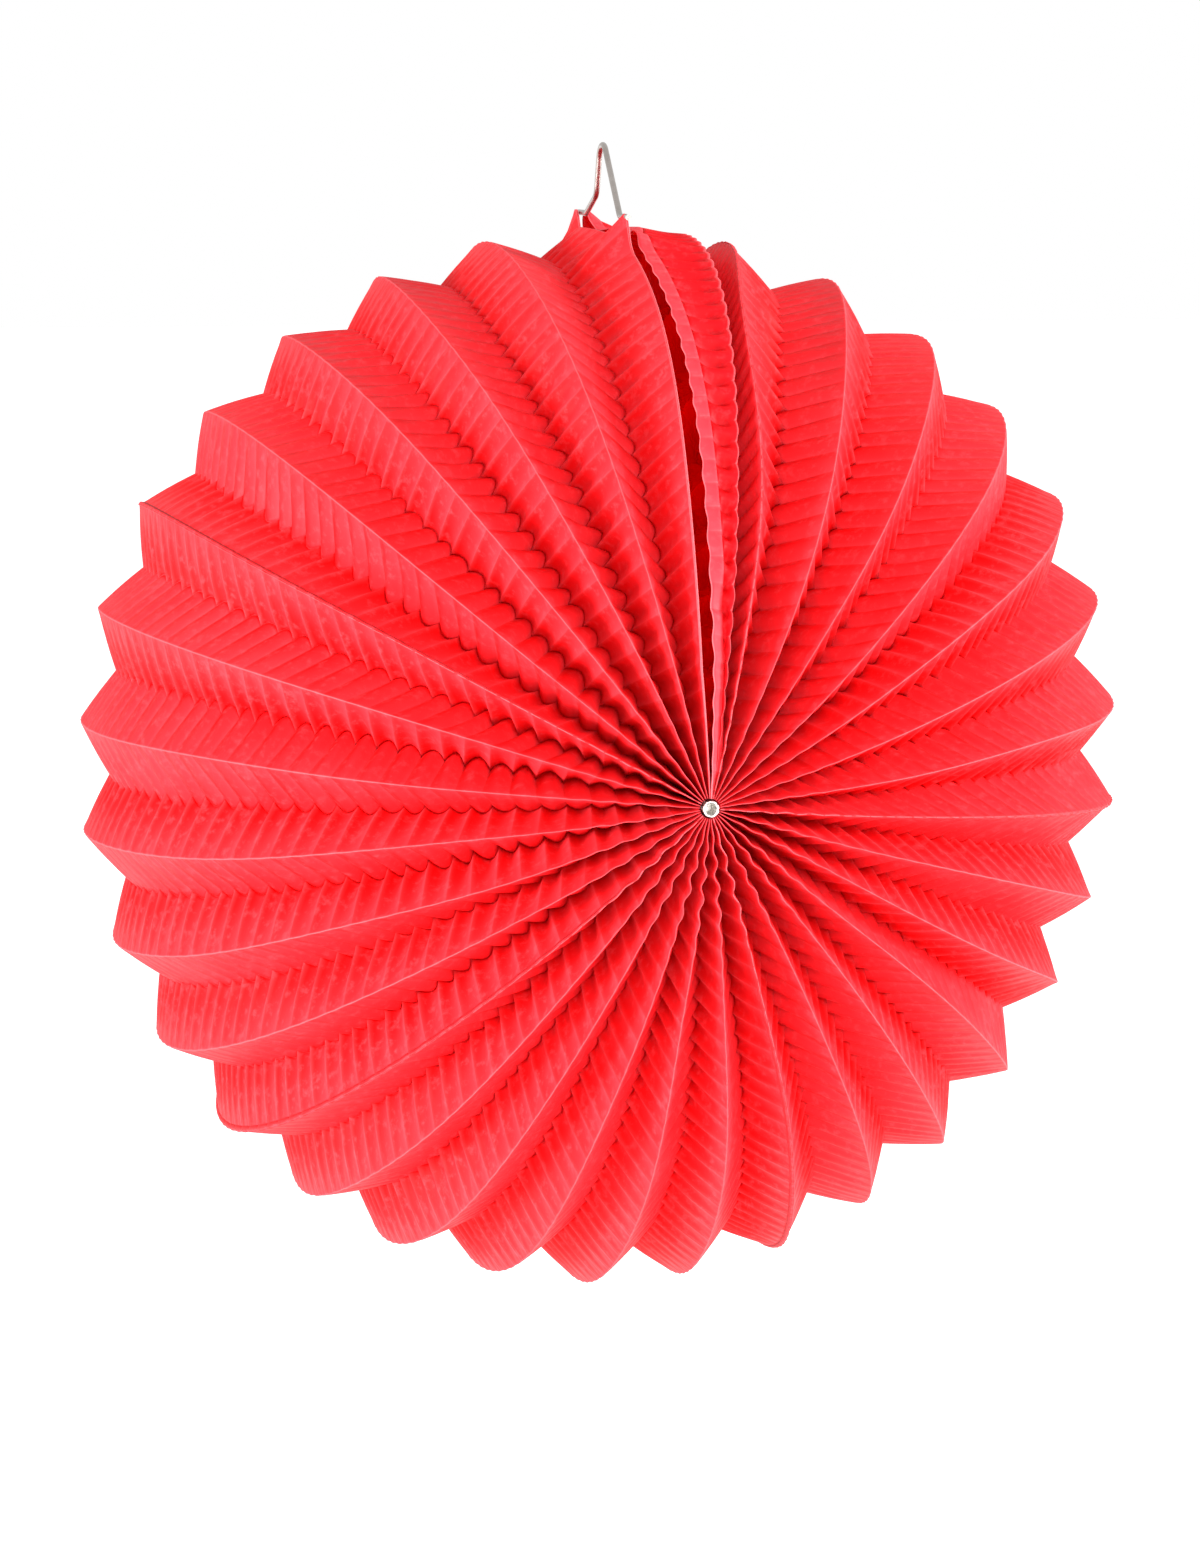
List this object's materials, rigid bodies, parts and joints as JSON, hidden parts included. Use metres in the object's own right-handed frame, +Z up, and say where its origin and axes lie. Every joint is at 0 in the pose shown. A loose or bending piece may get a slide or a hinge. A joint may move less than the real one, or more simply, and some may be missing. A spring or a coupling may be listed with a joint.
{
  "type": "accordion paper lantern",
  "caption": "Round paper lantern of radial accordion pleats fanned out between two hub eyelets, slit along the top, hung from a bent wire bail; folds flat and swings on its bail.",
  "frame": {"origin": "hanging point, on the underside of the wire at the top of the bail", "axes": "+Z up, the pole axis through both hub eyelets along Y with the front hub towards -Y, +X to the right as seen from the front"},
  "size_m": [0.2464, 0.2512, 0.2722],
  "materials": {
    "red_paper": "matt crinkled tissue-thin paper",
    "red_paper_hem": "matt doubled paper",
    "steel_wire": "drawn wire, dull bright",
    "eyelet_metal": "bright rolled metal"
  },
  "bodies": {
    "bail": {"wire_bail": "steel_wire"},
    "fixed_end": {"fixed_end_half_pleat": "red_paper", "fixed_end_hem": "red_paper_hem", "front_hub_eyelet": "eyelet_metal", "rear_hub_eyelet": "eyelet_metal"},
    "sheet_1_pleat_1": {"sheet_1_pleat_1": "red_paper"},
    "sheet_1_pleat_2": {"sheet_1_pleat_2": "red_paper"},
    "sheet_1_pleat_3": {"sheet_1_pleat_3": "red_paper"},
    "sheet_1_pleat_4": {"sheet_1_pleat_4": "red_paper"},
    "sheet_1_pleat_5": {"sheet_1_pleat_5": "red_paper"},
    "sheet_1_pleat_6": {"sheet_1_pleat_6": "red_paper"},
    "sheet_1_pleat_7": {"sheet_1_pleat_7": "red_paper"},
    "sheet_2_pleat_1": {"sheet_2_pleat_1": "red_paper"},
    "sheet_2_pleat_2": {"sheet_2_pleat_2": "red_paper"},
    "sheet_2_pleat_3": {"sheet_2_pleat_3": "red_paper"},
    "sheet_2_pleat_4": {"sheet_2_pleat_4": "red_paper"},
    "sheet_2_pleat_5": {"sheet_2_pleat_5": "red_paper"},
    "sheet_2_pleat_6": {"sheet_2_pleat_6": "red_paper"},
    "sheet_3_pleat_1": {"sheet_3_pleat_1": "red_paper"},
    "sheet_3_pleat_2": {"sheet_3_pleat_2": "red_paper"},
    "sheet_3_pleat_3": {"sheet_3_pleat_3": "red_paper"},
    "sheet_3_pleat_4": {"sheet_3_pleat_4": "red_paper"},
    "sheet_3_pleat_5": {"sheet_3_pleat_5": "red_paper"},
    "sheet_3_pleat_6": {"sheet_3_pleat_6": "red_paper"},
    "sheet_4_pleat_1": {"sheet_4_pleat_1": "red_paper"},
    "sheet_4_pleat_2": {"sheet_4_pleat_2": "red_paper"},
    "sheet_4_pleat_3": {"sheet_4_pleat_3": "red_paper"},
    "sheet_4_pleat_4": {"sheet_4_pleat_4": "red_paper"},
    "sheet_4_pleat_5": {"sheet_4_pleat_5": "red_paper"},
    "sheet_4_pleat_6": {"sheet_4_pleat_6": "red_paper"},
    "sheet_5_pleat_1": {"sheet_5_pleat_1": "red_paper"},
    "sheet_5_pleat_2": {"sheet_5_pleat_2": "red_paper"},
    "sheet_5_pleat_3": {"sheet_5_pleat_3": "red_paper"},
    "sheet_5_pleat_4": {"sheet_5_pleat_4": "red_paper"},
    "sheet_5_pleat_5": {"sheet_5_pleat_5": "red_paper"},
    "free_end": {"free_end_pleat": "red_paper", "free_end_hem": "red_paper_hem"}
  },
  "joints": [
    {"name": "bail_swing", "type": "hinge", "parent": "bail", "child": "fixed_end", "pos_m": [0, 0, -0.0158], "axis": [0, 1, 0], "range_deg": [-80, 80]},
    {"name": "fan_fold", "type": "hinge", "parent": "fixed_end", "child": "free_end", "pos_m": [0, 0, -0.1438], "axis": [0, 1, 0], "range_deg": [0, 346], "deforming": ["free_end_pleat", "fixed_end_half_pleat"]},
    {"name": "sheet_1_pleat_1_fold", "type": "hinge", "parent": "fixed_end", "child": "sheet_1_pleat_1", "pos_m": [0, 0, -0.1438], "axis": [0, 1, 0], "range_deg": [0, 335.49], "deforming": ["sheet_1_pleat_1"]},
    {"name": "sheet_1_pleat_2_fold", "type": "hinge", "parent": "fixed_end", "child": "sheet_1_pleat_2", "pos_m": [0, 0, -0.1438], "axis": [0, 1, 0], "range_deg": [0, 324.31], "deforming": ["sheet_1_pleat_2"]},
    {"name": "sheet_1_pleat_3_fold", "type": "hinge", "parent": "fixed_end", "child": "sheet_1_pleat_3", "pos_m": [0, 0, -0.1438], "axis": [0, 1, 0], "range_deg": [0, 313.13], "deforming": ["sheet_1_pleat_3"]},
    {"name": "sheet_1_pleat_4_fold", "type": "hinge", "parent": "fixed_end", "child": "sheet_1_pleat_4", "pos_m": [0, 0, -0.1438], "axis": [0, 1, 0], "range_deg": [0, 301.95], "deforming": ["sheet_1_pleat_4"]},
    {"name": "sheet_1_pleat_5_fold", "type": "hinge", "parent": "fixed_end", "child": "sheet_1_pleat_5", "pos_m": [0, 0, -0.1438], "axis": [0, 1, 0], "range_deg": [0, 290.77], "deforming": ["sheet_1_pleat_5"]},
    {"name": "sheet_1_pleat_6_fold", "type": "hinge", "parent": "fixed_end", "child": "sheet_1_pleat_6", "pos_m": [0, 0, -0.1438], "axis": [0, 1, 0], "range_deg": [0, 279.6], "deforming": ["sheet_1_pleat_6"]},
    {"name": "sheet_1_pleat_7_fold", "type": "hinge", "parent": "fixed_end", "child": "sheet_1_pleat_7", "pos_m": [0, 0, -0.1438], "axis": [0, 1, 0], "range_deg": [0, 268.43], "deforming": ["sheet_1_pleat_7"]},
    {"name": "sheet_2_pleat_1_fold", "type": "hinge", "parent": "fixed_end", "child": "sheet_2_pleat_1", "pos_m": [0, 0, -0.1438], "axis": [0, 1, 0], "range_deg": [0, 257.28], "deforming": ["sheet_2_pleat_1"]},
    {"name": "sheet_2_pleat_2_fold", "type": "hinge", "parent": "fixed_end", "child": "sheet_2_pleat_2", "pos_m": [0, 0, -0.1438], "axis": [0, 1, 0], "range_deg": [0, 246.16], "deforming": ["sheet_2_pleat_2"]},
    {"name": "sheet_2_pleat_3_fold", "type": "hinge", "parent": "fixed_end", "child": "sheet_2_pleat_3", "pos_m": [0, 0, -0.1438], "axis": [0, 1, 0], "range_deg": [0, 235.09], "deforming": ["sheet_2_pleat_3"]},
    {"name": "sheet_2_pleat_4_fold", "type": "hinge", "parent": "fixed_end", "child": "sheet_2_pleat_4", "pos_m": [0, 0, -0.1438], "axis": [0, 1, 0], "range_deg": [0, 224.09], "deforming": ["sheet_2_pleat_4"]},
    {"name": "sheet_2_pleat_5_fold", "type": "hinge", "parent": "fixed_end", "child": "sheet_2_pleat_5", "pos_m": [0, 0, -0.1438], "axis": [0, 1, 0], "range_deg": [0, 213.18], "deforming": ["sheet_2_pleat_5"]},
    {"name": "sheet_2_pleat_6_fold", "type": "hinge", "parent": "fixed_end", "child": "sheet_2_pleat_6", "pos_m": [0, 0, -0.1438], "axis": [0, 1, 0], "range_deg": [0, 202.41], "deforming": ["sheet_2_pleat_6"]},
    {"name": "sheet_3_pleat_1_fold", "type": "hinge", "parent": "fixed_end", "child": "sheet_3_pleat_1", "pos_m": [0, 0, -0.1438], "axis": [0, 1, 0], "range_deg": [0, 191.78], "deforming": ["sheet_3_pleat_1"]},
    {"name": "sheet_3_pleat_2_fold", "type": "hinge", "parent": "fixed_end", "child": "sheet_3_pleat_2", "pos_m": [0, 0, -0.1438], "axis": [0, 1, 0], "range_deg": [0, 181.3], "deforming": ["sheet_3_pleat_2"]},
    {"name": "sheet_3_pleat_3_fold", "type": "hinge", "parent": "fixed_end", "child": "sheet_3_pleat_3", "pos_m": [0, 0, -0.1438], "axis": [0, 1, 0], "range_deg": [0, 170.94], "deforming": ["sheet_3_pleat_3"]},
    {"name": "sheet_3_pleat_4_fold", "type": "hinge", "parent": "fixed_end", "child": "sheet_3_pleat_4", "pos_m": [0, 0, -0.1438], "axis": [0, 1, 0], "range_deg": [0, 160.65], "deforming": ["sheet_3_pleat_4"]},
    {"name": "sheet_3_pleat_5_fold", "type": "hinge", "parent": "fixed_end", "child": "sheet_3_pleat_5", "pos_m": [0, 0, -0.1438], "axis": [0, 1, 0], "range_deg": [0, 150.32], "deforming": ["sheet_3_pleat_5"]},
    {"name": "sheet_3_pleat_6_fold", "type": "hinge", "parent": "fixed_end", "child": "sheet_3_pleat_6", "pos_m": [0, 0, -0.1438], "axis": [0, 1, 0], "range_deg": [0, 139.86], "deforming": ["sheet_3_pleat_6"]},
    {"name": "sheet_4_pleat_1_fold", "type": "hinge", "parent": "fixed_end", "child": "sheet_4_pleat_1", "pos_m": [0, 0, -0.1438], "axis": [0, 1, 0], "range_deg": [0, 129.17], "deforming": ["sheet_4_pleat_1"]},
    {"name": "sheet_4_pleat_2_fold", "type": "hinge", "parent": "fixed_end", "child": "sheet_4_pleat_2", "pos_m": [0, 0, -0.1438], "axis": [0, 1, 0], "range_deg": [0, 118.17], "deforming": ["sheet_4_pleat_2"]},
    {"name": "sheet_4_pleat_3_fold", "type": "hinge", "parent": "fixed_end", "child": "sheet_4_pleat_3", "pos_m": [0, 0, -0.1438], "axis": [0, 1, 0], "range_deg": [0, 106.83], "deforming": ["sheet_4_pleat_3"]},
    {"name": "sheet_4_pleat_4_fold", "type": "hinge", "parent": "fixed_end", "child": "sheet_4_pleat_4", "pos_m": [0, 0, -0.1438], "axis": [0, 1, 0], "range_deg": [0, 95.18], "deforming": ["sheet_4_pleat_4"]},
    {"name": "sheet_4_pleat_5_fold", "type": "hinge", "parent": "fixed_end", "child": "sheet_4_pleat_5", "pos_m": [0, 0, -0.1438], "axis": [0, 1, 0], "range_deg": [0, 83.29], "deforming": ["sheet_4_pleat_5"]},
    {"name": "sheet_4_pleat_6_fold", "type": "hinge", "parent": "fixed_end", "child": "sheet_4_pleat_6", "pos_m": [0, 0, -0.1438], "axis": [0, 1, 0], "range_deg": [0, 71.26], "deforming": ["sheet_4_pleat_6"]},
    {"name": "sheet_5_pleat_1_fold", "type": "hinge", "parent": "fixed_end", "child": "sheet_5_pleat_1", "pos_m": [0, 0, -0.1438], "axis": [0, 1, 0], "range_deg": [0, 59.19], "deforming": ["sheet_5_pleat_1"]},
    {"name": "sheet_5_pleat_2_fold", "type": "hinge", "parent": "fixed_end", "child": "sheet_5_pleat_2", "pos_m": [0, 0, -0.1438], "axis": [0, 1, 0], "range_deg": [0, 47.18], "deforming": ["sheet_5_pleat_2"]},
    {"name": "sheet_5_pleat_3_fold", "type": "hinge", "parent": "fixed_end", "child": "sheet_5_pleat_3", "pos_m": [0, 0, -0.1438], "axis": [0, 1, 0], "range_deg": [0, 35.28], "deforming": ["sheet_5_pleat_3"]},
    {"name": "sheet_5_pleat_4_fold", "type": "hinge", "parent": "fixed_end", "child": "sheet_5_pleat_4", "pos_m": [0, 0, -0.1438], "axis": [0, 1, 0], "range_deg": [0, 23.53], "deforming": ["sheet_5_pleat_4"]},
    {"name": "sheet_5_pleat_5_fold", "type": "hinge", "parent": "fixed_end", "child": "sheet_5_pleat_5", "pos_m": [0, 0, -0.1438], "axis": [0, 1, 0], "range_deg": [0, 11.92], "deforming": ["sheet_5_pleat_5"]}
  ],
  "couplings": [
    {"joint": "sheet_1_pleat_1_fold", "follows": "fan_fold", "ratio": 0.96961},
    {"joint": "sheet_1_pleat_2_fold", "follows": "fan_fold", "ratio": 0.93729},
    {"joint": "sheet_1_pleat_3_fold", "follows": "fan_fold", "ratio": 0.90497},
    {"joint": "sheet_1_pleat_4_fold", "follows": "fan_fold", "ratio": 0.87265},
    {"joint": "sheet_1_pleat_5_fold", "follows": "fan_fold", "ratio": 0.84035},
    {"joint": "sheet_1_pleat_6_fold", "follows": "fan_fold", "ratio": 0.80805},
    {"joint": "sheet_1_pleat_7_fold", "follows": "fan_fold", "ratio": 0.77578},
    {"joint": "sheet_2_pleat_1_fold", "follows": "fan_fold", "ratio": 0.74355},
    {"joint": "sheet_2_pleat_2_fold", "follows": "fan_fold", "ratio": 0.71142},
    {"joint": "sheet_2_pleat_3_fold", "follows": "fan_fold", "ratio": 0.67941},
    {"joint": "sheet_2_pleat_4_fold", "follows": "fan_fold", "ratio": 0.64762},
    {"joint": "sheet_2_pleat_5_fold", "follows": "fan_fold", "ratio": 0.61611},
    {"joint": "sheet_2_pleat_6_fold", "follows": "fan_fold", "ratio": 0.58497},
    {"joint": "sheet_3_pleat_1_fold", "follows": "fan_fold", "ratio": 0.55426},
    {"joint": "sheet_3_pleat_2_fold", "follows": "fan_fold", "ratio": 0.52397},
    {"joint": "sheet_3_pleat_3_fold", "follows": "fan_fold", "ratio": 0.49403},
    {"joint": "sheet_3_pleat_4_fold", "follows": "fan_fold", "ratio": 0.46426},
    {"joint": "sheet_3_pleat_5_fold", "follows": "fan_fold", "ratio": 0.43442},
    {"joint": "sheet_3_pleat_6_fold", "follows": "fan_fold", "ratio": 0.40419},
    {"joint": "sheet_4_pleat_1_fold", "follows": "fan_fold", "ratio": 0.37329},
    {"joint": "sheet_4_pleat_2_fold", "follows": "fan_fold", "ratio": 0.34149},
    {"joint": "sheet_4_pleat_3_fold", "follows": "fan_fold", "ratio": 0.30873},
    {"joint": "sheet_4_pleat_4_fold", "follows": "fan_fold", "ratio": 0.27506},
    {"joint": "sheet_4_pleat_5_fold", "follows": "fan_fold", "ratio": 0.2407},
    {"joint": "sheet_4_pleat_6_fold", "follows": "fan_fold", "ratio": 0.20592},
    {"joint": "sheet_5_pleat_1_fold", "follows": "fan_fold", "ratio": 0.17104},
    {"joint": "sheet_5_pleat_2_fold", "follows": "fan_fold", "ratio": 0.13632},
    {"joint": "sheet_5_pleat_3_fold", "follows": "fan_fold", "ratio": 0.10193},
    {"joint": "sheet_5_pleat_4_fold", "follows": "fan_fold", "ratio": 0.067967},
    {"joint": "sheet_5_pleat_5_fold", "follows": "fan_fold", "ratio": 0.03443}
  ]
}
